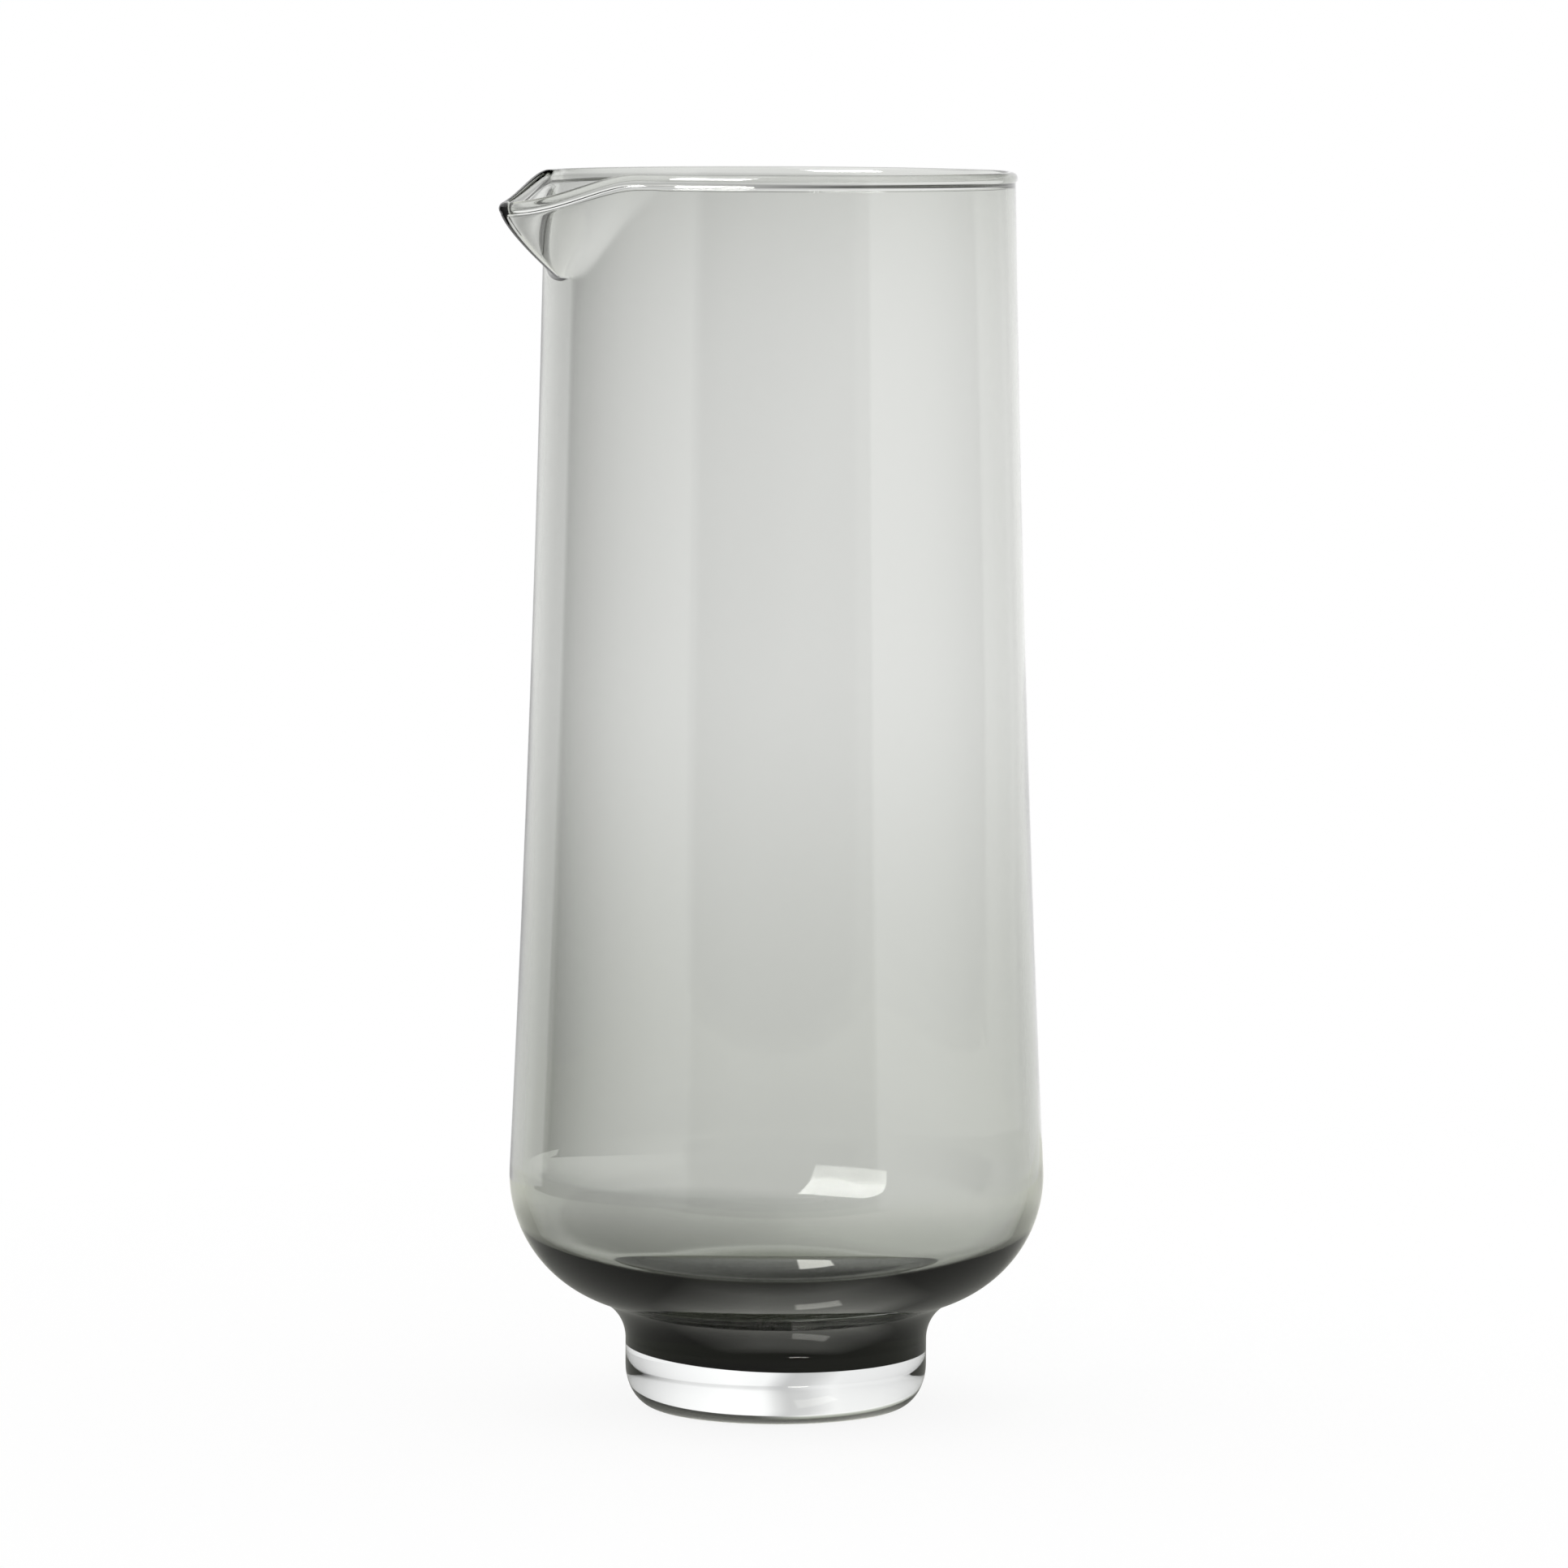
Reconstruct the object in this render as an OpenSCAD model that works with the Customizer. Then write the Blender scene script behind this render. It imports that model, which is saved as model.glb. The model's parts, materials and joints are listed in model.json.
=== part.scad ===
// Footed water carafe in smoked glass with a clear glass foot.
// The frame stands on the table: origin on the axis, at the foot's flat underside,
// +Z up, and the pouring lip points along -X.

/* [Body] */
// Height of the rim above the table
height = 245; // [215:1:275]
// Outside diameter of the wall just under the rim
rim_d = 92.5; // [84:0.5:100]
// Greatest outside diameter, low on the body
belly_d = 106; // [98:0.5:114]
// Radius of the turn from the wall into the underside
bowl_r = 26.1; // [22:0.1:30]
// Lean of the wall where it leaves the belly, in degrees
wall_lean = 2.8; // [2:0.1:3.5]

/* [Glass thickness] */
// Wall at the rim
rim_wall = 1.9; // [1.4:0.1:2.6]
// Wall where it is thinnest, halfway up
mid_wall = 1.2; // [0.9:0.05:1.8]
// Height at which the wall is thinnest
mid_z = 152; // [130:1:175]
// Wall at the belly
belly_wall = 2.4; // [1.8:0.1:3.2]
// Height below which the wall thickens towards the base
belly_z = 60; // [54:1:70]
// Wall where the inside starts to turn in to its floor
base_wall = 2.85; // [2.4:0.05:4]
// Solid glass between the inside floor and the neck seam
floor_t = 5.55; // [4:0.05:9]
// Diameter of the flat inside floor
floor_d = 53; // [40:1:60]
// Height of the inside turn from the floor to the wall
turn_h = 12.25; // [9:0.25:16]
// Height of the fire-polished bead on the rim
bead_h = 2.6; // [2:0.1:4]
// How far the bead stands out of the wall, inside and outside
bead_out = 0.4; // [0.2:0.05:0.8]

/* [Foot] */
// Diameter of the foot
foot_d = 59.8; // [52:0.1:68]
// Height of the clear glass foot
clear_h = 11.2; // [9:0.1:14]
// Height of the smoked stem between the clear foot and the bowl
stem_h = 8.5; // [6:0.1:12]
// Rounding of the foot's bottom edge, measured inwards
foot_edge_w = 6.2; // [4:0.1:8.5]
// Rounding of the foot's bottom edge, measured upwards
foot_edge_h = 8.45; // [4:0.05:8.8]
// Radius of the hollow turn from the stem to the bowl
neck_r = 8.8; // [6:0.1:11]

/* [Pouring lip] */
// How far the lip's tip stands out of the wall
lip_reach = 12.4; // [8:0.1:16]
// How far the rim dips at the tip
lip_drop = 5.8; // [3:0.1:8]
// Height of the lip's keel, from its foot on the wall up to the rim's level
lip_depth = 19; // [15:0.5:24]
// Half angle of the rim that is pulled out
lip_half_angle = 36; // [28:1:44]
// Half angle of the rim that dips
dip_half_angle = 30; // [24:1:40]
// Half angle of the rounded nose along the keel
lip_nose = 1.6; // [1:0.1:3]

/* [Hidden] */
$fn = 180;
smoke = [0.36, 0.37, 0.35, 0.6];
clear = [0.90, 0.93, 0.93, 0.45];

// Points on each round stretch, and columns and rows of the lofted mouth
arc_steps = 24;
base_steps = 10;
wall_steps = 28;
columns = 96;
wall_rows = 11;
bead_steps = 9;

foot_r = foot_d / 2;
rim_r = rim_d / 2;
belly_r = belly_d / 2;
seam_z = clear_h + stem_h;
floor_r = floor_d / 2;
floor_z = seam_z + floor_t;
turn_z = floor_z + turn_h;

// The neck's hollow arc touches the stem and the bowl's arc, and the seam is halfway up it
seam_angle = 45;
neck_c = [foot_r + neck_r, seam_z - neck_r * sin(seam_angle)];
bowl_c_r = belly_r - bowl_r;
bowl_c = [bowl_c_r, neck_c.y + sqrt(pow(bowl_r + neck_r, 2) - pow(neck_c.x - bowl_c_r, 2))];
touch_angle = atan2(neck_c.y - bowl_c.y, neck_c.x - bowl_c.x);

// The wall is one curve that leaves the belly on its tangent and ends under the rim
wall_foot = bowl_c + bowl_r * [cos(wall_lean), sin(wall_lean)];
wall_bend = wall_foot.x - tan(wall_lean) * (height - wall_foot.y) / 2;

// How suddenly the wall thickens to the rim and to the base, and how square the inside turn is
rim_power = 5;
base_power = 3;
turn_power = 2.6;

// The lofted mouth starts below the lip's keel and runs into the turned wall under it
mouth_clear = 8;
mouth_z = height - lip_depth - mouth_clear;
mouth_overlap = 1;
mouth_inset = 0.08;
bead_c_z = height - bead_h / 2;
bead_half_w = rim_wall / 2 + bead_out;
bead_join = acos(rim_wall / 2 / bead_half_w);
wall_top_z = bead_c_z - bead_h / 2 * sin(bead_join);

// Shape of the lip: how its keel leans out, how its flanks hollow, how they close in downwards
keel_power = 1.3;
flank_power = 2;
flank_foot_share = 0.3;
column_power = 1.35;

function arc(c, r, from, to, steps = arc_steps) =
    [for (i = [0 : steps]) let (a = from + (to - from) * i / steps) c + r * [cos(a), sin(a)]];

// Smooth step from 0 to 1
function ease(t) = let (k = min(max(t, 0), 1)) k * k * (3 - 2 * k);

// Outside radius of the bowl and the wall at height z
function wall_r(z) =
    let (t = (z - wall_foot.y) / (height - wall_foot.y))
    z < wall_foot.y ? bowl_c.x + sqrt(pow(bowl_r, 2) - pow(z - bowl_c.y, 2)) :
    (1 - t) * (1 - t) * wall_foot.x + 2 * t * (1 - t) * wall_bend + t * t * rim_r;

// Thickness of the wall at height z: heavy at the base, thin halfway up, fuller again at the rim
function wall_t(z) =
    z > mid_z ? mid_wall + (rim_wall - mid_wall) * pow((z - mid_z) / (height - mid_z), rim_power) :
    z > belly_z ? mid_wall + (belly_wall - mid_wall) * ease((mid_z - z) / (mid_z - belly_z)) :
    belly_wall + (base_wall - belly_wall) * pow((belly_z - z) / (belly_z - turn_z), base_power);
function inner_r(z) = wall_r(z) - wall_t(z);

// Outline of the solid glass, from the table up to height z
function outer_points(z) = concat(
    [[0, 0]],
    [for (i = [0 : arc_steps])
        let (a = 90 * i / arc_steps)
        [foot_r - foot_edge_w * (1 - sin(a)), foot_edge_h * (1 - cos(a))]],
    arc(neck_c, neck_r, 180, 180 + touch_angle),
    arc(bowl_c, bowl_r, touch_angle, wall_lean),
    [for (i = [1 : wall_steps]) let (h = wall_foot.y + (z - wall_foot.y) * i / wall_steps) [wall_r(h), h]],
    [[0, z]]);

// Outline of the hollow, from the floor up past height z
function cavity_points(z) = concat(
    [[0, floor_z]],
    [for (i = [0 : arc_steps])
        let (a = 90 * i / arc_steps, h = turn_z - turn_h * pow(cos(a), 2 / turn_power))
        [floor_r + (inner_r(h) - floor_r) * pow(sin(a), 2 / turn_power), h]],
    [for (i = [1 : base_steps]) let (h = turn_z + (belly_z - turn_z) * i / base_steps) [inner_r(h), h]],
    [for (i = [1 : wall_steps]) let (h = belly_z + (z - belly_z) * i / wall_steps) [inner_r(h), h]],
    [[0, z]]);

// Share of the mouth's height at which a point lies, 1 from the top of the wall upwards
function lift(z) = min(max((z - mouth_z) / (wall_top_z - mouth_z), 0), 1);
keel_lift = lift(height - lip_depth);

// How far a point is pulled out, and how far it dips, at an angle from the lip's middle
function pull(angle, z) =
    let (u = max((lift(z) - keel_lift) / (1 - keel_lift), 0))
    let (reach = lip_reach * (1 - pow(1 - u, keel_power)))
    let (half = lip_half_angle * (flank_foot_share + (1 - flank_foot_share) * u))
    let (s = (sqrt(angle * angle + lip_nose * lip_nose) - lip_nose) / half)
    reach * pow(max(1 - s, 0), flank_power);
function dip(angle, z) = lip_drop * ease(1 - abs(angle) / dip_half_angle) * lift(z);

// Cross-section of the mouth before the lip is pulled: up the outside, over the bead, down the inside
row_heights = [for (i = [1 : wall_rows]) mouth_z + (wall_top_z - mouth_z) * (i - 1) / wall_rows];
bead_r = wall_r(height) - rim_wall / 2;
mouth_section = concat(
    [[wall_r(mouth_z) - mouth_inset, mouth_z - mouth_overlap]],
    [for (h = row_heights) [wall_r(h) - (h == mouth_z ? mouth_inset : 0), h]],
    [for (i = [0 : bead_steps])
        let (a = -bead_join + (180 + 2 * bead_join) * i / bead_steps)
        [bead_r + bead_half_w * cos(a), bead_c_z + bead_h / 2 * sin(a)]],
    [for (i = [1 : wall_rows])
        let (h = row_heights[wall_rows - i])
        [inner_r(h) + (h == mouth_z ? mouth_inset : 0), h]],
    [[inner_r(mouth_z) + mouth_inset, mouth_z - mouth_overlap]]);

// Angles of the columns from the lip's middle, closer together near the lip
column_angles = [for (j = [0 : columns - 1])
    let (q = 2 * j / columns - 1)
    180 * sign(q) * pow(abs(q), column_power)];

module mouth() {
    rows = len(mouth_section);
    points = [for (angle = column_angles, p = mouth_section)
        let (r = p.x + pull(angle, p.y))
        [-r * cos(angle), -r * sin(angle), p.y - dip(angle, p.y)]];
    faces = [for (j = [0 : columns - 1], i = [0 : rows - 1])
        let (a = j * rows, b = (j + 1) % columns * rows, k = (i + 1) % rows)
        each [[a + i, a + k, b + k], [a + i, b + k, b + i]]];
    polyhedron(points, faces);
}

// The solid glass between two heights
module outer_slice(from, to) {
    rotate_extrude()
        intersection() {
            polygon(outer_points(mouth_z));
            translate([0, from])
                square([belly_d, to - from]);
        }
}

// Blown bowl: underside, floor, wall, rim bead and pouring lip
module smoked_bowl() {
    color(smoke) {
        difference() {
            outer_slice(seam_z, mouth_z);
            rotate_extrude()
                polygon(cavity_points(mouth_z + mouth_overlap));
        }
        mouth();
    }
}

// Solid post that joins the bowl to the foot
module smoked_stem() {
    color(smoke)
        outer_slice(clear_h, seam_z);
}

// Clear foot with a rounded edge and a flat underside
module clear_foot() {
    color(clear)
        outer_slice(0, clear_h);
}

smoked_bowl();
smoked_stem();
clear_foot();
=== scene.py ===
import bpy
import bmesh
import json
from math import acos, atan2, cos, degrees, pi, radians, sin, sqrt, tan
from mathutils import Matrix, Vector

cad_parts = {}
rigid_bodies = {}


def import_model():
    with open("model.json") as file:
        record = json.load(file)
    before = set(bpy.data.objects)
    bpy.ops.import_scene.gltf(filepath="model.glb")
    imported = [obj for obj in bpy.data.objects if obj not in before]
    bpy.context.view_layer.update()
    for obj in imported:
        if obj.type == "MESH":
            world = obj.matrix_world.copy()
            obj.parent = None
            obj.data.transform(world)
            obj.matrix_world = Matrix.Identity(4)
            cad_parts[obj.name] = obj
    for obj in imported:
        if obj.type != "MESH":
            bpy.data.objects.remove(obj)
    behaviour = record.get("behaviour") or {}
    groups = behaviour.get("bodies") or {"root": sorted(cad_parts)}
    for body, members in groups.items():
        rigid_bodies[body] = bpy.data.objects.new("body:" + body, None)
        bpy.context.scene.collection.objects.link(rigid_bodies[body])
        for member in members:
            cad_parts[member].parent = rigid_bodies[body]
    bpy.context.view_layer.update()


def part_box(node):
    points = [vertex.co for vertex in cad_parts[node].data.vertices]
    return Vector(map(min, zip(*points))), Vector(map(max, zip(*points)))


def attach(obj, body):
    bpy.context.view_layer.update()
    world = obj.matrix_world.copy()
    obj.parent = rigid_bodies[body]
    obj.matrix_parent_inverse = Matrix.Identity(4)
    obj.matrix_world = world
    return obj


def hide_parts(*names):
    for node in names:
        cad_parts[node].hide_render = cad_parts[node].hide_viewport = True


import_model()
mm = 0.001

# Sizes that the frame gives: the axis is Z, and the foot stands on z = 0
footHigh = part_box("clear_foot")[1]
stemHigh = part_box("smoked_stem")[1]
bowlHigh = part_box("smoked_bowl")[1]
footRadius = footHigh.x
clearTop = footHigh.z
seamZ = stemHigh.z
rimZ = bowlHigh.z
bellyRadius = bowlHigh.x
sizes = (rimZ / mm, footRadius * 2 / mm, bellyRadius * 2 / mm)
print("frame: %.1f mm high, foot %.1f mm, belly %.1f mm across" % sizes)

# The photograph's camera: the lip is at the left, turned a little towards it
view = dict(
    azimuth=-23.0,
    distance=1659.7,
    height=277.6,
    aimHeight=124.0,
    aimRight=1.2,
    roll=0.224,
    focal=10387.0,        # pixels
    frameWidth=1932.0,    # pixels
    sensor=36.0,
)
toCamera = Vector((sin(radians(view["azimuth"])), -cos(radians(view["azimuth"])), 0))
toRight = Vector((-toCamera.y, toCamera.x, 0))


def linear(hexColour):
    parts = [int(hexColour[i:i + 2], 16) / 255 for i in (1, 3, 5)]
    return [c / 12.92 if c <= 0.04045 else ((c + 0.055) / 1.055) ** 2.4 for c in parts] + [1.0]


def addNode(tree, kind, inputs=None, **settings):  # a node with its settings, socket values and links
    node = tree.nodes.new(kind)
    for name, value in settings.items():
        setattr(node, name, value)
    for name, value in (inputs or {}).items():
        if isinstance(value, bpy.types.Node):
            value = value.outputs[0]
        if isinstance(value, bpy.types.NodeSocket):
            tree.links.new(value, node.inputs[name])
        else:
            node.inputs[name].default_value = value
    return node


def newMaterial(name):
    material = bpy.data.materials.new(name)
    material.use_nodes = True
    material.node_tree.nodes.clear()
    return material, material.node_tree


# Mouth-blown soda-lime glass: a fire-polished skin, so nearly no roughness, that sways a little
# because it was never ground. The smoke is in the body of the glass, so thick glass is darker.
blownGlass = dict(
    ior=1.52,
    waveSize=22.0,        # mm, slow sway of the skin
    waveDepth=0.03,       # mm
    smokeColour="#a6ab9d",
    smokeDensity=180.0,   # per metre
    clearColour="#f4fbf9",
    clearDensity=3.0,
    polish=0.006,         # roughness where the skin sways most
    seamSmoked=1.012,     # the glasses are fused, so light crosses their seam almost unbent
    seamClear=1.0,
)


def glassMaterial(name, colour, density, seamIor):
    material, tree = newMaterial(name)
    coords = addNode(tree, "ShaderNodeTexCoord").outputs["Object"]
    sway = addNode(tree, "ShaderNodeTexNoise", {
        "Vector": coords, "Scale": 1 / (blownGlass["waveSize"] * mm), "Detail": 1.0, "Roughness": 0.4})
    swayBump = addNode(tree, "ShaderNodeBump", {
        "Height": sway.outputs["Fac"], "Distance": blownGlass["waveDepth"] * mm, "Strength": 1.0})
    polish = addNode(tree, "ShaderNodeMapRange", {
        "Value": sway.outputs["Fac"], "From Min": 0.3, "From Max": 0.7, "To Min": 0.0,
        "To Max": blownGlass["polish"]})
    seam = addNode(tree, "ShaderNodeAttribute", attribute_name="seam")
    ior = addNode(tree, "ShaderNodeMapRange", {
        "Value": seam.outputs["Fac"], "To Min": blownGlass["ior"], "To Max": seamIor})
    skin = addNode(tree, "ShaderNodeBsdfPrincipled", {
        "Base Color": (1, 1, 1, 1), "Transmission Weight": 1.0, "Roughness": polish.outputs["Result"],
        "IOR": ior.outputs["Result"], "Normal": swayBump.outputs["Normal"]})
    smoke = addNode(tree, "ShaderNodeVolumeAbsorption", {"Color": linear(colour), "Density": density})
    addNode(tree, "ShaderNodeOutputMaterial", {
        "Surface": skin.outputs["BSDF"], "Volume": smoke.outputs["Volume"]})
    return material


smokedGlass = glassMaterial(
    "smoked_soda_lime_glass_blown", blownGlass["smokeColour"], blownGlass["smokeDensity"],
    blownGlass["seamSmoked"])
clearGlass = glassMaterial(
    "clear_soda_lime_glass_blown", blownGlass["clearColour"], blownGlass["clearDensity"],
    blownGlass["seamClear"])
print("materials: smoked and clear blown glass")


# The body's outline and its lip, in millimetres
body = dict(
    rimRadius=46.25,
    bowlTurn=26.1,
    neckTurn=8.8,
    wallLean=2.8,         # degrees
    seamAngle=45.0,       # how far up the neck's turn the stem ends
    rimWall=1.9,
    midWall=1.2,
    midHeight=152.0,      # where the wall is thinnest
    bellyWall=2.4,
    bellyHeight=60.0,     # below this the wall thickens faster, to the heavy base
    baseWall=2.85,        # wall where the hollow starts to turn in to its floor
    basePower=3.0,
    rimPower=5.0,         # how suddenly the wall thickens to the rim
    hollowTurn=37.5,      # where the hollow starts to turn in
    hollowFloor=25.25,
    floorRadius=26.5,     # the flat part of the floor
    hollowPower=2.6,      # 2 is an ellipse, more is squarer
    beadHeight=2.6,
    beadOut=0.4,
    columns=264,
    arcSteps=28,
    wallSteps=40,
    mouthSteps=44,
    beadSteps=24,
    flatSteps=8,
)
lip = dict(
    reach=12.4,
    drop=5.8,
    depth=19.0,
    halfAngle=36.0,
    dipAngle=30.0,
    nose=1.6,
    keelPower=1.3,
    flankPower=2.0,
    flankFoot=0.3,
    below=8.0,            # how far under the keel the mouth starts
    columnPower=1.35,     # above 1 draws the columns towards the lip
)
foot = dict(
    edgeWide=6.2,         # the bottom edge is rounded more upwards than inwards
    edgeHigh=8.45,
    seamGap=0.01,         # between the two glasses, so that no two faces lie on each other
    seamTilt=-0.6,        # the seam between the glasses isn't quite level
    seamBow=0.8,
    columns=192,
    underSteps=6,
    edgeSteps=32,
    seamSteps=8,
)
weldGap = 0.002 * mm      # points closer than this are one
seamReach = 0.001 * mm    # faces this close to the seam's height are its own


def arcTo(bm, vert, centre, angle, steps):  # turns a vertex about a centre in the XZ plane
    made = bmesh.ops.spin(
        bm, geom=[vert], cent=(centre[0], 0, centre[1]), axis=(0, -1, 0), angle=radians(angle), steps=steps)
    return next(g for g in made["geom_last"] if isinstance(g, bmesh.types.BMVert))


def lineTo(bm, vert, point):
    made = bmesh.ops.extrude_vert_indiv(bm, verts=[vert])
    made["verts"][0].co = (point[0], 0, point[1])
    return made["verts"][0]


def seamLift(co):  # how far the seam lies off its mean height at a place on the foot
    across = co.dot(toRight) / footRadius
    return (foot["seamTilt"] * across + foot["seamBow"] * across ** 2) * mm


def finishMesh(bm, name, material, sharpZ):
    bmesh.ops.remove_doubles(bm, verts=bm.verts, dist=weldGap)
    bmesh.ops.recalc_face_normals(bm, faces=bm.faces)
    seam = bm.faces.layers.float.new("seam")
    for face in bm.faces:
        face.smooth = True
        onSeam = all(abs(v.co.z - sharpZ) < seamReach for v in face.verts)
        face[seam] = 1.0 if onSeam else 0.0
    for edge in bm.edges:
        kinds = {face[seam] for face in edge.link_faces}
        edge.smooth = len(kinds) < 2
    for v in bm.verts:
        if abs(v.co.z - sharpZ) < seamReach:
            v.co.z += seamLift(v.co)
    mesh = bpy.data.meshes.new(name)
    bm.to_mesh(mesh)
    bm.free()
    mesh.materials.append(material)
    piece = bpy.data.objects.new(name, mesh)
    bpy.context.scene.collection.objects.link(piece)
    return piece


# Outline values worked out from the sizes
bowlTurn = body["bowlTurn"] * mm
neckTurn = body["neckTurn"] * mm
lean = radians(body["wallLean"])
neckCentre = Vector((footRadius + neckTurn, seamZ - neckTurn * sin(radians(body["seamAngle"]))))
bowlX = bellyRadius - bowlTurn
bowlCentre = Vector((bowlX, neckCentre.y + sqrt((bowlTurn + neckTurn) ** 2 - (neckCentre.x - bowlX) ** 2)))
touch = degrees(atan2(neckCentre.y - bowlCentre.y, neckCentre.x - bowlCentre.x))
wallFoot = bowlCentre + bowlTurn * Vector((cos(lean), sin(lean)))
wallBend = wallFoot.x - tan(lean) * (rimZ - wallFoot.y) / 2
mouthZ = rimZ - (lip["depth"] + lip["below"]) * mm
beadHalf = body["beadHeight"] * mm / 2
beadWide = (body["rimWall"] / 2 + body["beadOut"]) * mm
beadJoin = acos(body["rimWall"] * mm / 2 / beadWide)
wallTop = rimZ - beadHalf - beadHalf * sin(beadJoin)


def ease(t):
    t = min(max(t, 0.0), 1.0)
    return t * t * (3 - 2 * t)


def wallRadius(z):  # outside radius above the neck
    if z < wallFoot.y:
        return bowlX + sqrt(bowlTurn ** 2 - (z - bowlCentre.y) ** 2)
    t = (z - wallFoot.y) / (rimZ - wallFoot.y)
    return (1 - t) ** 2 * wallFoot.x + 2 * t * (1 - t) * wallBend + t * t * body["rimRadius"] * mm


def wallThick(z):
    z = z / mm
    if z > body["midHeight"]:
        share = ((z - body["midHeight"]) / (rimZ / mm - body["midHeight"])) ** body["rimPower"]
        return (body["midWall"] + (body["rimWall"] - body["midWall"]) * share) * mm
    if z > body["bellyHeight"]:
        share = ease((body["midHeight"] - z) / (body["midHeight"] - body["bellyHeight"]))
        return (body["midWall"] + (body["bellyWall"] - body["midWall"]) * share) * mm
    share = ((body["bellyHeight"] - z) / (body["bellyHeight"] - body["hollowTurn"])) ** body["basePower"]
    return (body["bellyWall"] + (body["baseWall"] - body["bellyWall"]) * share) * mm


def hollowRadius(z):  # follows the outside down to the base, then turns in to a flat floor
    deep = (body["hollowTurn"] * mm - z) / ((body["hollowTurn"] - body["hollowFloor"]) * mm)
    deep = min(max(deep, 0.0), 1.0)
    flat = body["floorRadius"] * mm
    share = (1 - deep ** body["hollowPower"]) ** (1 / body["hollowPower"])
    return flat + (wallRadius(z) - wallThick(z) - flat) * share


def lift(z):
    return min(max((z - mouthZ) / (wallTop - mouthZ), 0.0), 1.0)


def pullLip(co):  # draws the rim out to the lip, which points along -X
    radius = sqrt(co.x ** 2 + co.y ** 2)
    angle = degrees(atan2(-co.y, -co.x))
    keel = lift(rimZ - lip["depth"] * mm)
    u = max((lift(co.z) - keel) / (1 - keel), 0.0)
    reach = lip["reach"] * mm * (1 - (1 - u) ** lip["keelPower"])
    half = lip["halfAngle"] * (lip["flankFoot"] + (1 - lip["flankFoot"]) * u)
    s = (sqrt(angle ** 2 + lip["nose"] ** 2) - lip["nose"]) / half
    radius += reach * max(1 - s, 0.0) ** lip["flankPower"]
    drop = lip["drop"] * mm * ease(1 - abs(angle) / lip["dipAngle"]) * lift(co.z)
    return Vector((-radius * cos(radians(angle)), -radius * sin(radians(angle)), co.z - drop))


def drawColumns(co):  # draws the columns of points closer together round the lip
    radius = sqrt(co.x ** 2 + co.y ** 2)
    q = atan2(-co.y, -co.x) / pi
    angle = pi * abs(q) ** lip["columnPower"] * (1 if q > 0 else -1)
    return Vector((-radius * cos(angle), -radius * sin(angle), co.z))


def smokedBody():
    bm = bmesh.new()
    vert = bm.verts.new((0, 0, clearTop))
    flatSteps = body["flatSteps"]
    for i in range(1, flatSteps + 1):
        vert = lineTo(bm, vert, (footRadius * i / flatSteps, clearTop))
    vert = lineTo(bm, vert, (footRadius, neckCentre.y))
    vert = arcTo(bm, vert, neckCentre, touch, body["arcSteps"])
    vert = arcTo(bm, vert, bowlCentre, body["wallLean"] - touch, body["arcSteps"])
    for i in range(1, body["wallSteps"] + 1):
        z = wallFoot.y + (mouthZ - wallFoot.y) * i / body["wallSteps"]
        vert = lineTo(bm, vert, (wallRadius(z), z))
    for i in range(1, body["mouthSteps"] + 1):
        z = mouthZ + (wallTop - mouthZ) * i / body["mouthSteps"]
        vert = lineTo(bm, vert, (wallRadius(z), z))
    beadX = wallRadius(rimZ) - body["rimWall"] * mm / 2
    for i in range(1, body["beadSteps"] + 1):
        a = -beadJoin + (pi + 2 * beadJoin) * i / body["beadSteps"]
        vert = lineTo(bm, vert, (beadX + beadWide * cos(a), rimZ - beadHalf + beadHalf * sin(a)))
    for i in range(1, body["mouthSteps"] + 1):
        z = wallTop + (mouthZ - wallTop) * i / body["mouthSteps"]
        vert = lineTo(bm, vert, (hollowRadius(z), z))
    hollowTurn = body["hollowTurn"] * mm
    for i in range(1, body["wallSteps"] * 2 + 1):
        z = mouthZ + (hollowTurn - mouthZ) * i / body["wallSteps"] / 2
        vert = lineTo(bm, vert, (hollowRadius(z), z))
    deep = hollowTurn - body["hollowFloor"] * mm
    turnSteps = 2 * body["arcSteps"]
    for i in range(1, turnSteps + 1):
        z = hollowTurn - deep * sin(pi / 2 * i / turnSteps) ** (2 / body["hollowPower"])
        vert = lineTo(bm, vert, (hollowRadius(z), z))
    for i in range(1, flatSteps + 1):
        vert = lineTo(bm, vert, (body["floorRadius"] * mm * (1 - i / flatSteps), body["hollowFloor"] * mm))
    bmesh.ops.spin(bm, geom=bm.verts[:] + bm.edges[:], cent=(0, 0, 0), axis=(0, 0, 1), angle=2 * pi,
                   steps=body["columns"], use_merge=True)
    for v in bm.verts:
        v.co = drawColumns(v.co)
    for v in bm.verts:
        v.co = pullLip(v.co)
    return finishMesh(bm, "smoked_body", smokedGlass, clearTop)


def clearFoot():
    bm = bmesh.new()
    flat = footRadius - foot["edgeWide"] * mm
    high = foot["edgeHigh"] * mm
    top = clearTop - foot["seamGap"] * mm
    vert = bm.verts.new((0, 0, 0))
    for i in range(1, foot["underSteps"] + 1):
        vert = lineTo(bm, vert, (flat * i / foot["underSteps"], 0))
    for i in range(1, foot["edgeSteps"] + 1):
        a = pi / 2 * i / foot["edgeSteps"]
        vert = lineTo(bm, vert, (flat + (footRadius - flat) * sin(a), high * (1 - cos(a))))
    vert = lineTo(bm, vert, (footRadius, top))
    for i in range(1, foot["seamSteps"] + 1):
        vert = lineTo(bm, vert, (footRadius * (1 - i / foot["seamSteps"]), top))
    bmesh.ops.spin(bm, geom=bm.verts[:] + bm.edges[:], cent=(0, 0, 0), axis=(0, 0, 1), angle=2 * pi,
                   steps=foot["columns"], use_merge=True)
    return finishMesh(bm, "clear_foot_glass", clearGlass, top)


bodyPiece = smokedBody()
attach(bodyPiece, "root")
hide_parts("smoked_bowl", "smoked_stem")
print("smoked body: %d faces" % len(bodyPiece.data.polygons))

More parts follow.
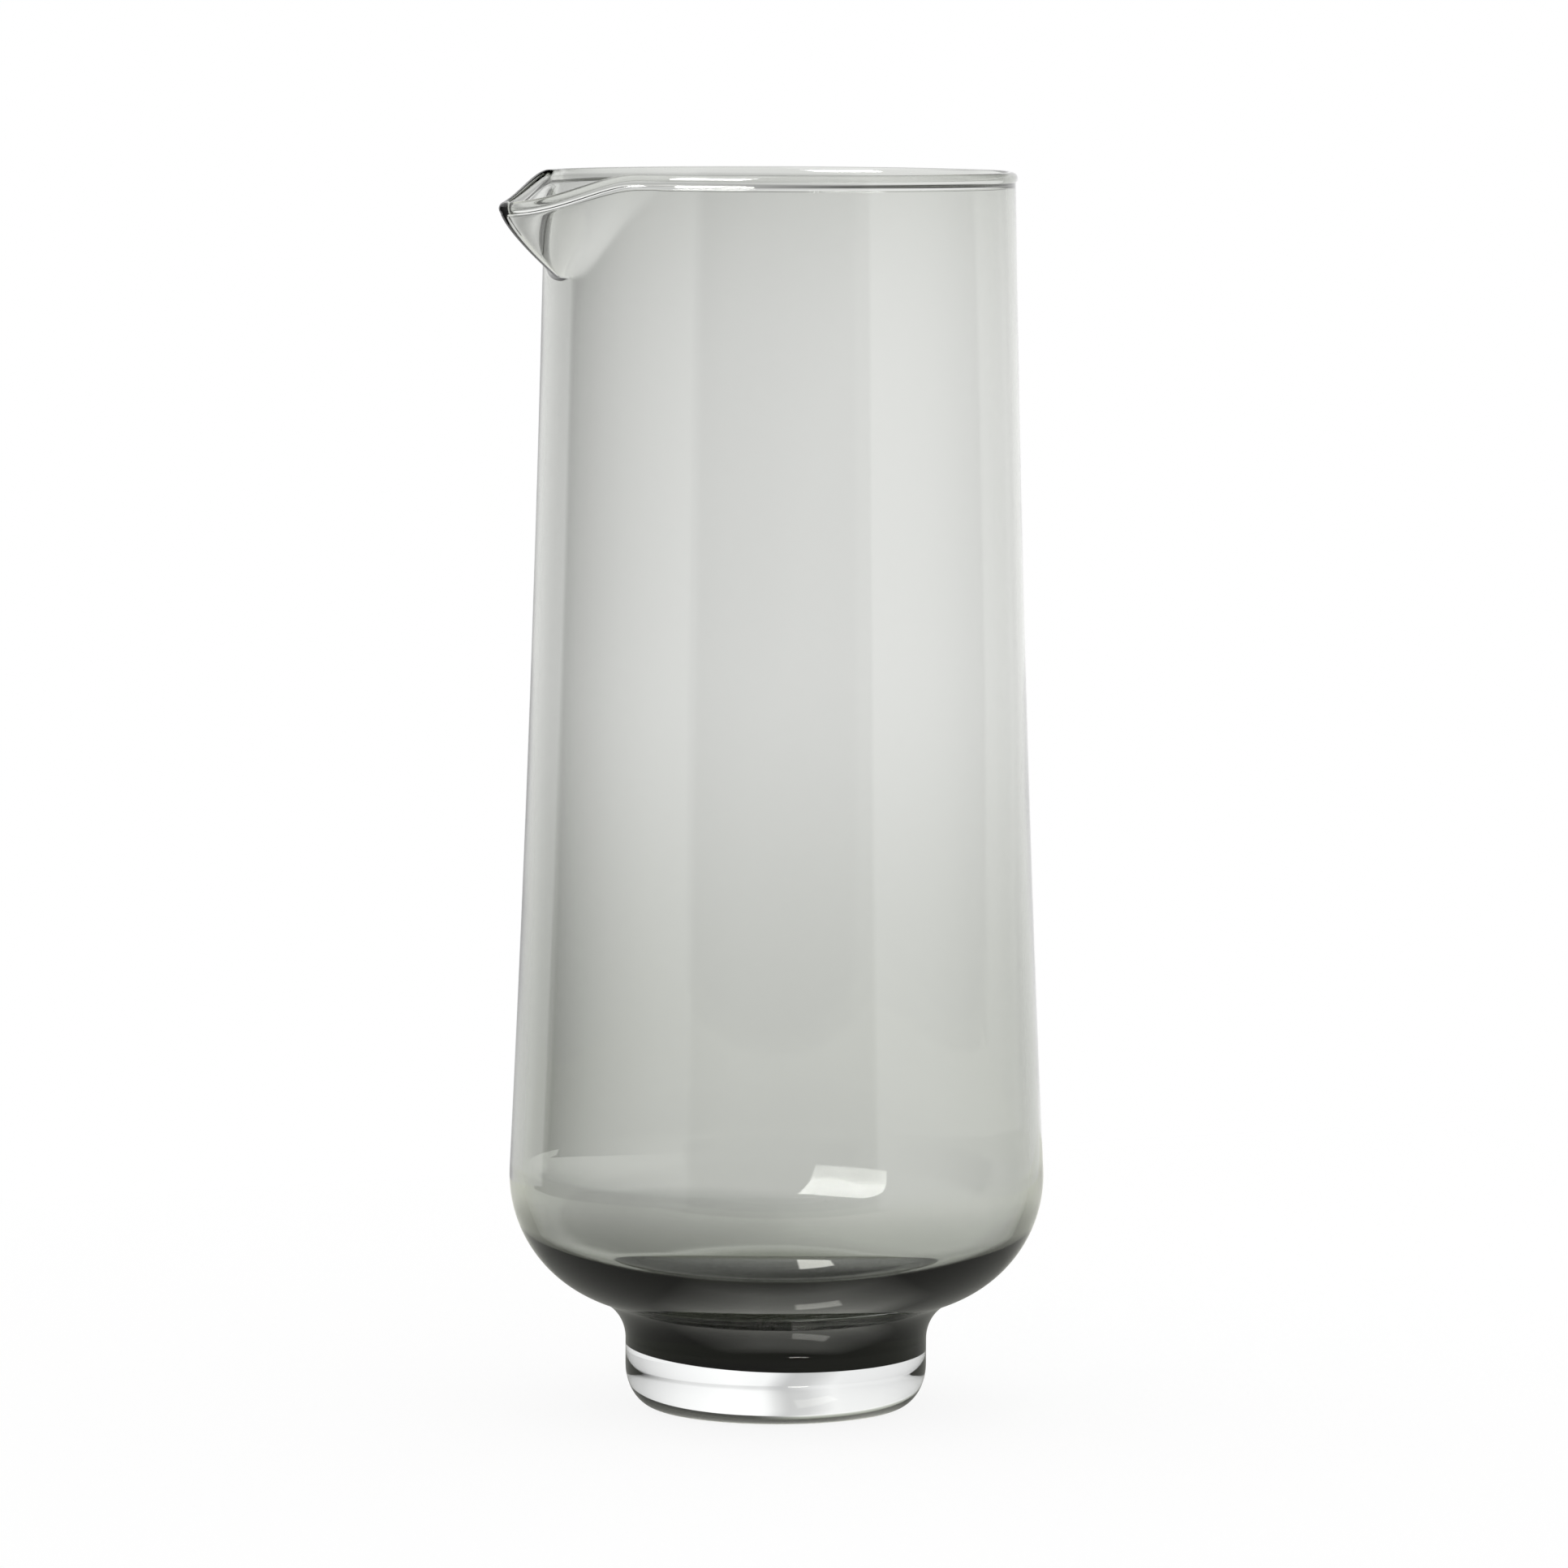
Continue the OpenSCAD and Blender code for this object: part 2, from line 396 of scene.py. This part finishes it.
footPiece = clearFoot()
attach(footPiece, "root")
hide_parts("clear_foot")
print("clear foot: %d faces" % len(footPiece.data.polygons))


def addCamera():
    data = bpy.data.cameras.new("camera")
    data.sensor_width = view["sensor"]
    data.lens = view["focal"] / view["frameWidth"] * view["sensor"]
    camera = bpy.data.objects.new("camera", data)
    bpy.context.scene.collection.objects.link(camera)
    place = toCamera * view["distance"] * mm + Vector((0, 0, view["height"] * mm))
    aim = toRight * view["aimRight"] * mm + Vector((0, 0, view["aimHeight"] * mm))
    turn = (aim - place).to_track_quat("-Z", "Y").to_matrix().to_4x4()
    camera.matrix_world = Matrix.Translation(place) @ turn @ Matrix.Rotation(radians(view["roll"]), 4, "Z")
    bpy.context.scene.camera = camera


# A white studio with a dark side at the left and towards the camera, and a bright window in front
# at the left. Only the glass shows it: what the camera sees straight is plain white.
# The rings hold degrees to the right of the camera, and the brightness there.
studio = dict(
    around=[(-180.0, 1.0), (-170.0, 1.0), (-160.0, 0.92), (-121.5, 0.88), (-120.5, 0.0),
            (-100.0, 0.2), (-80.0, 0.45), (-38.8, 0.5), (-37.8, 0.08), (0.0, 0.16), (43.5, 0.22),
            (44.5, 1.0), (70.0, 0.95), (95.0, 0.8), (125.0, 0.75), (150.0, 1.0), (168.0, 1.12),
            (177.0, 1.04), (180.0, 1.0)],
    # the same walls seen straight through the glass: pale on every side
    through=[(-180.0, 1.0), (-170.0, 1.0), (-160.0, 0.92), (-121.5, 0.88), (-100.0, 0.9), (-60.0, 0.95),
             (60.0, 0.95), (95.0, 0.8), (125.0, 0.75), (150.0, 1.0), (168.0, 1.12), (177.0, 1.04),
             (180.0, 1.0)],
    above=[(-180.0, 0.4), (-176.0, 0.8), (-172.0, 1.2), (-105.0, 1.2), (-70.0, 0.75), (-38.0, 0.2),
           (-20.0, 0.0), (43.0, 0.0), (45.0, 0.4), (80.0, 0.2), (95.0, 0.0), (174.0, 0.0),
           (180.0, 0.4)],
    aboveStart=13.0,      # degrees above the horizon
    aboveEnd=20.0,
    # the backdrop's darker left: degrees from its middle, and the share of its light that is left
    fall=[(-180.0, 1.0), (0.0, 1.0), (1.0, 0.97), (2.0, 0.89), (3.0, 0.81), (4.0, 0.75), (5.2, 0.66),
          (7.0, 0.6), (12.0, 0.65), (20.0, 1.0), (180.0, 1.0)],
    fallLean=0.22,        # how much it leans to the right upwards
    fallHeight=-5.2,      # degrees above the horizon where it is as listed
    # the window's light by degrees above the horizon: dimmer at the bottom
    window=[(0.0, 0.0), (18.0, 0.0), (19.5, 0.48), (26.0, 0.52), (28.0, 0.56), (30.0, 0.68), (32.0, 0.88),
            (34.0, 1.0), (40.0, 0.95), (50.0, 0.85), (59.0, 0.8), (60.0, 0.0), (90.0, 0.0)],
    windowLevel=18.3,
    windowLeft=-47.5,     # degrees to the right of the camera, at the horizon
    windowLeftLean=-0.39,
    windowRight=-21.5,
    windowRightLean=0.1,
    windowSoft=1.0,
    windowPaths=4.5,      # glass surfaces it is seen through at most, after one reflection
)


def bearing(tree, vector, side, ahead):  # angle from straight ahead towards a side
    across = addNode(tree, "ShaderNodeVectorMath", {0: vector, 1: side}, operation="DOT_PRODUCT")
    along = addNode(tree, "ShaderNodeVectorMath", {0: vector, 1: ahead}, operation="DOT_PRODUCT")
    return addNode(tree, "ShaderNodeMath", {
        0: across.outputs["Value"], 1: along.outputs["Value"]}, operation="ARCTAN2")


def lightBy(tree, angle, low, high, levels):  # light that follows a list of degrees and levels
    share = addNode(tree, "ShaderNodeMapRange", {
        "Value": angle, "From Min": radians(low), "From Max": radians(high)})
    ramp = addNode(tree, "ShaderNodeValToRGB", {"Fac": share})
    stops = ramp.color_ramp.elements
    stops[0].color = (levels[0][1],) * 3 + (1,)
    stops[-1].color = (levels[-1][1],) * 3 + (1,)
    for degree, level in levels[1:-1]:
        stop = stops.new((degree - low) / (high - low))
        stop.color = (level, level, level, 1)
    return ramp


def between(tree, value, low, high, soft):  # 1 between two edges, 0 beyond them
    after = addNode(tree, "ShaderNodeMapRange", {"Value": value, "From Min": low - soft, "From Max": low})
    before = addNode(tree, "ShaderNodeMapRange", {
        "Value": value, "From Min": high + soft, "From Max": high})
    return addNode(tree, "ShaderNodeMath", {0: after, 1: before}, operation="MULTIPLY")


# A white floor that keeps a faint shadow. The glass shows it dim around the foot, brighter behind
# and at the right, and with the carafe's soft shadow behind it at the left.
table = dict(
    half=330.0,
    under=0.1,            # how far it lies under the foot
    matt=0.12,            # share of the white that takes the shadow
    front=230.0,          # where the table ends
    left=310.0,
    edgeSoft=6.0,
    mirrored=0.28,        # how bright it is around the foot
    dimEnd=90.0,          # it grows brighter from here
    brightStart=240.0,
    bright=0.95,
    tint="#fcfdf4",
    # painted patches of light on the table in front of the foot, which the glass shows as painted
    # highlights;
    # in mm ahead and to the right, each with its soft edges; only the outside of the glass shows them, from
    # no further than their reach
    paintedLightPatches=[
        dict(near=20.0, far=44.0, ends=14.0, left=-6.0, right=18.0, sides=28.0, reach=100.0, level=1.3),
        dict(near=31.5, far=36.0, ends=1.0, left=6.0, right=18.0, sides=1.0, reach=100.0, level=3.0),
        dict(near=69.0, far=86.0, ends=1.0, left=10.5, right=25.0, sides=1.0, reach=47.0, level=10.0),
    ],
    shadowNear=70.0,      # behind the carafe, where the soft shadow starts
    shadowFull=90.0,
    shadowRight=20.0,
    shadowLeft=-35.0,
    shadowTurn=170.0,     # behind here the shadow runs away to the left
    shadowLean=0.35,
    shadowLevel=0.66,
    shadowFade=240.0,     # from here it fades away towards the table's edge
    shadowEnd=320.0,
    contactEnd=29.0,      # the dark under the foot, seen through its edge
    contactClear=36.0,
    contactLevel=0.04,
)


def tableMirrored(tree, spot, ahead, aside, path):  # how bright the table looks in the glass
    soft = table["edgeSoft"] * mm
    left = -table["left"] * mm
    front = table["front"] * mm
    inside = addNode(tree, "ShaderNodeMapRange", {
        "Value": aside, "From Min": left - soft, "From Max": left + soft})
    behind = addNode(tree, "ShaderNodeMapRange", {
        "Value": ahead, "From Min": front + soft, "From Max": front - soft})
    onTable = addNode(tree, "ShaderNodeMath", {0: inside, 1: behind}, operation="MULTIPLY")
    away = addNode(tree, "ShaderNodeVectorMath", {0: spot}, operation="LENGTH").outputs["Value"]
    glow = addNode(tree, "ShaderNodeMapRange", {
        "Value": away, "From Min": table["dimEnd"] * mm, "From Max": table["brightStart"] * mm,
        "To Min": table["mirrored"], "To Max": table["bright"]})
    ring = lightBy(tree, bearing(tree, spot, toRight, toCamera), -180, 180, studio["around"])
    level = addNode(tree, "ShaderNodeMix", {0: onTable, 2: ring, 3: glow})
    outside = addNode(tree, "ShaderNodeMath", {
        0: path.outputs["Transmission Depth"], 1: 0.5}, operation="LESS_THAN")
    # painted highlights: each patch paints light onto the table as the glass reflects it
    for lit in table["paintedLightPatches"]:
        depth = between(tree, ahead, lit["near"] * mm, lit["far"] * mm, lit["ends"] * mm)
        width = between(tree, aside, lit["left"] * mm, lit["right"] * mm, lit["sides"] * mm)
        patch = addNode(tree, "ShaderNodeMath", {0: depth, 1: width}, operation="MULTIPLY")
        patch = addNode(tree, "ShaderNodeMath", {0: patch, 1: outside}, operation="MULTIPLY")
        close = addNode(tree, "ShaderNodeMath", {
            0: path.outputs["Ray Length"], 1: lit["reach"] * mm}, operation="LESS_THAN")
        patch = addNode(tree, "ShaderNodeMath", {0: patch, 1: close}, operation="MULTIPLY")
        level = addNode(tree, "ShaderNodeMix", {0: patch, 2: level, 3: lit["level"]})
    return level


def tableShaded(tree, spot, ahead, aside):  # the shadows on it, seen through the glass
    back = addNode(tree, "ShaderNodeMath", {0: -table["shadowTurn"] * mm, 1: ahead}, operation="SUBTRACT")
    beyond = addNode(tree, "ShaderNodeMath", {0: back, 1: 0.0}, operation="MAXIMUM")
    side = addNode(tree, "ShaderNodeMath", {
        0: beyond, 1: table["shadowLean"], 2: aside}, operation="MULTIPLY_ADD")
    wide = addNode(tree, "ShaderNodeMapRange", {
        "Value": side, "From Min": table["shadowRight"] * mm, "From Max": table["shadowLeft"] * mm})
    deep = addNode(tree, "ShaderNodeMapRange", {
        "Value": ahead, "From Min": -table["shadowNear"] * mm, "From Max": -table["shadowFull"] * mm})
    away = addNode(tree, "ShaderNodeVectorMath", {0: spot}, operation="LENGTH").outputs["Value"]
    fade = addNode(tree, "ShaderNodeMapRange", {
        "Value": away, "From Min": table["shadowEnd"] * mm, "From Max": table["shadowFade"] * mm})
    shade = addNode(tree, "ShaderNodeMath", {0: wide, 1: deep}, operation="MULTIPLY")
    shade = addNode(tree, "ShaderNodeMath", {0: shade, 1: fade}, operation="MULTIPLY")
    soft = addNode(tree, "ShaderNodeMix", {0: shade, 2: 1.0, 3: table["shadowLevel"]})
    contact = addNode(tree, "ShaderNodeMapRange", {
        "Value": away, "From Min": table["contactEnd"] * mm, "From Max": table["contactClear"] * mm,
        "To Min": table["contactLevel"], "To Max": 1.0})
    return addNode(tree, "ShaderNodeMath", {0: soft, 1: contact}, operation="MULTIPLY")


def addTable():
    bm = bmesh.new()
    bmesh.ops.create_grid(bm, x_segments=1, y_segments=1, size=table["half"] * mm)
    bmesh.ops.translate(bm, verts=bm.verts, vec=(0, 0, -table["under"] * mm))
    mesh = bpy.data.meshes.new("table")
    bm.to_mesh(mesh)
    bm.free()
    # Matt white laminate: plain white to the eye, with a faint contact shadow
    material, tree = newMaterial("white_table_laminate_matt")
    spot = addNode(tree, "ShaderNodeTexCoord").outputs["Object"]
    ahead = addNode(tree, "ShaderNodeVectorMath", {
        0: spot, 1: toCamera}, operation="DOT_PRODUCT").outputs["Value"]
    aside = addNode(tree, "ShaderNodeVectorMath", {
        0: spot, 1: toRight}, operation="DOT_PRODUCT").outputs["Value"]
    matt = addNode(tree, "ShaderNodeBsdfDiffuse", {"Color": (table["matt"],) * 3 + (1,)})
    white = addNode(tree, "ShaderNodeEmission", {"Strength": 1 - table["matt"]})
    plain = addNode(tree, "ShaderNodeAddShader", {0: matt, 1: white})
    path = addNode(tree, "ShaderNodeLightPath")
    through = addNode(tree, "ShaderNodeMath", {
        0: path.outputs["Transmission Depth"], 1: 0.5}, operation="GREATER_THAN")
    # through the glass the table shows painted shade; in the glass's reflections it shows painted
    # brightness and painted light patches
    shaded = addNode(tree, "ShaderNodeEmission", {"Strength": tableShaded(tree, spot, ahead, aside)})
    mirrored = tableMirrored(tree, spot, ahead, aside, path)
    mirror = addNode(tree, "ShaderNodeEmission", {"Color": linear(table["tint"]), "Strength": mirrored})
    reflected = addNode(tree, "ShaderNodeMath", {
        0: path.outputs["Glossy Depth"], 1: 0.5}, operation="GREATER_THAN")
    seen = addNode(tree, "ShaderNodeMixShader", {0: through, 1: plain, 2: shaded})
    seen = addNode(tree, "ShaderNodeMixShader", {0: reflected, 1: seen, 2: mirror})
    addNode(tree, "ShaderNodeOutputMaterial", {"Surface": seen})
    mesh.materials.append(material)
    piece = bpy.data.objects.new("table", mesh)
    bpy.context.scene.collection.objects.link(piece)


def windowLight(tree, angle, height, path):  # its edges lean apart upwards
    fromLeft = addNode(tree, "ShaderNodeMath", {
        0: height, 1: -studio["windowLeftLean"], 2: angle}, operation="MULTIPLY_ADD")
    fromRight = addNode(tree, "ShaderNodeMath", {
        0: height, 1: -studio["windowRightLean"], 2: angle}, operation="MULTIPLY_ADD")
    soft = radians(studio["windowSoft"])
    left = radians(studio["windowLeft"])
    right = radians(studio["windowRight"])
    after = addNode(tree, "ShaderNodeMapRange", {
        "Value": fromLeft, "From Min": left - soft, "From Max": left})
    before = addNode(tree, "ShaderNodeMapRange", {
        "Value": fromRight, "From Min": right + soft, "From Max": right})
    window = lightBy(tree, height, 0, 90, studio["window"])
    once = addNode(tree, "ShaderNodeMath", {0: path.outputs["Glossy Depth"], 1: 1.5}, operation="LESS_THAN")
    few = addNode(tree, "ShaderNodeMath", {
        0: path.outputs["Transmission Depth"], 1: studio["windowPaths"]}, operation="LESS_THAN")
    for share in (after, before, once, few):
        window = addNode(tree, "ShaderNodeMath", {0: window, 1: share}, operation="MULTIPLY")
    return addNode(tree, "ShaderNodeMath", {0: window, 1: studio["windowLevel"]}, operation="MULTIPLY")


def addWorld():
    world = bpy.data.worlds.new("studio")
    bpy.context.scene.world = world
    world.use_nodes = True
    tree = world.node_tree
    tree.nodes.clear()
    direction = addNode(tree, "ShaderNodeTexCoord").outputs["Generated"]
    upward = addNode(tree, "ShaderNodeVectorMath", {
        0: direction, 1: (0, 0, 1)}, operation="DOT_PRODUCT").outputs["Value"]
    height = addNode(tree, "ShaderNodeMath", {0: upward}, operation="ARCSINE")
    angle = bearing(tree, direction, toRight, toCamera)
    back = bearing(tree, direction, -toRight, -toCamera)
    raised = addNode(tree, "ShaderNodeMath", {
        0: height, 1: radians(studio["fallHeight"])}, operation="SUBTRACT")
    leant = addNode(tree, "ShaderNodeMath", {
        0: raised, 1: studio["fallLean"], 2: back}, operation="MULTIPLY_ADD")
    path = addNode(tree, "ShaderNodeLightPath")
    reflected = addNode(tree, "ShaderNodeMath", {
        0: path.outputs["Glossy Depth"], 1: 0.5}, operation="GREATER_THAN")
    ring = addNode(tree, "ShaderNodeMix", {
        0: reflected,
        2: lightBy(tree, angle, -180, 180, studio["through"]),
        3: lightBy(tree, angle, -180, 180, studio["around"])})
    backdrop = lightBy(tree, leant, -180, 180, studio["fall"])
    low = addNode(tree, "ShaderNodeMath", {0: ring, 1: backdrop}, operation="MULTIPLY")
    over = addNode(tree, "ShaderNodeMapRange", {
        "Value": height,
        "From Min": radians(studio["aboveStart"]), "From Max": radians(studio["aboveEnd"])})
    high = lightBy(tree, angle, -180, 180, studio["above"])
    walls = addNode(tree, "ShaderNodeMix", {0: over, 2: low, 3: high})
    window = windowLight(tree, angle, height, path)
    room = addNode(tree, "ShaderNodeMath", {0: walls, 1: window}, operation="ADD")
    depth = addNode(tree, "ShaderNodeMath", {
        0: path.outputs["Glossy Depth"], 1: path.outputs["Transmission Depth"]}, operation="ADD")
    inGlass = addNode(tree, "ShaderNodeMath", {0: depth, 1: 0.5}, operation="GREATER_THAN")
    seen = addNode(tree, "ShaderNodeMix", {0: inGlass, 2: 1.0, 3: room})
    light = addNode(tree, "ShaderNodeBackground", {"Color": (1, 1, 1, 1), "Strength": seen})
    addNode(tree, "ShaderNodeOutputWorld", {"Surface": light})


addCamera()
addTable()
addWorld()
scene = bpy.context.scene
scene.cycles.max_bounces = 32
scene.cycles.transmission_bounces = 32
scene.cycles.glossy_bounces = 16
scene.cycles.sample_clamp_indirect = 40.0  # keeps the window's full brightness in the glass
scene.view_settings.view_transform = "Standard"
print("stage: camera, table and studio light")
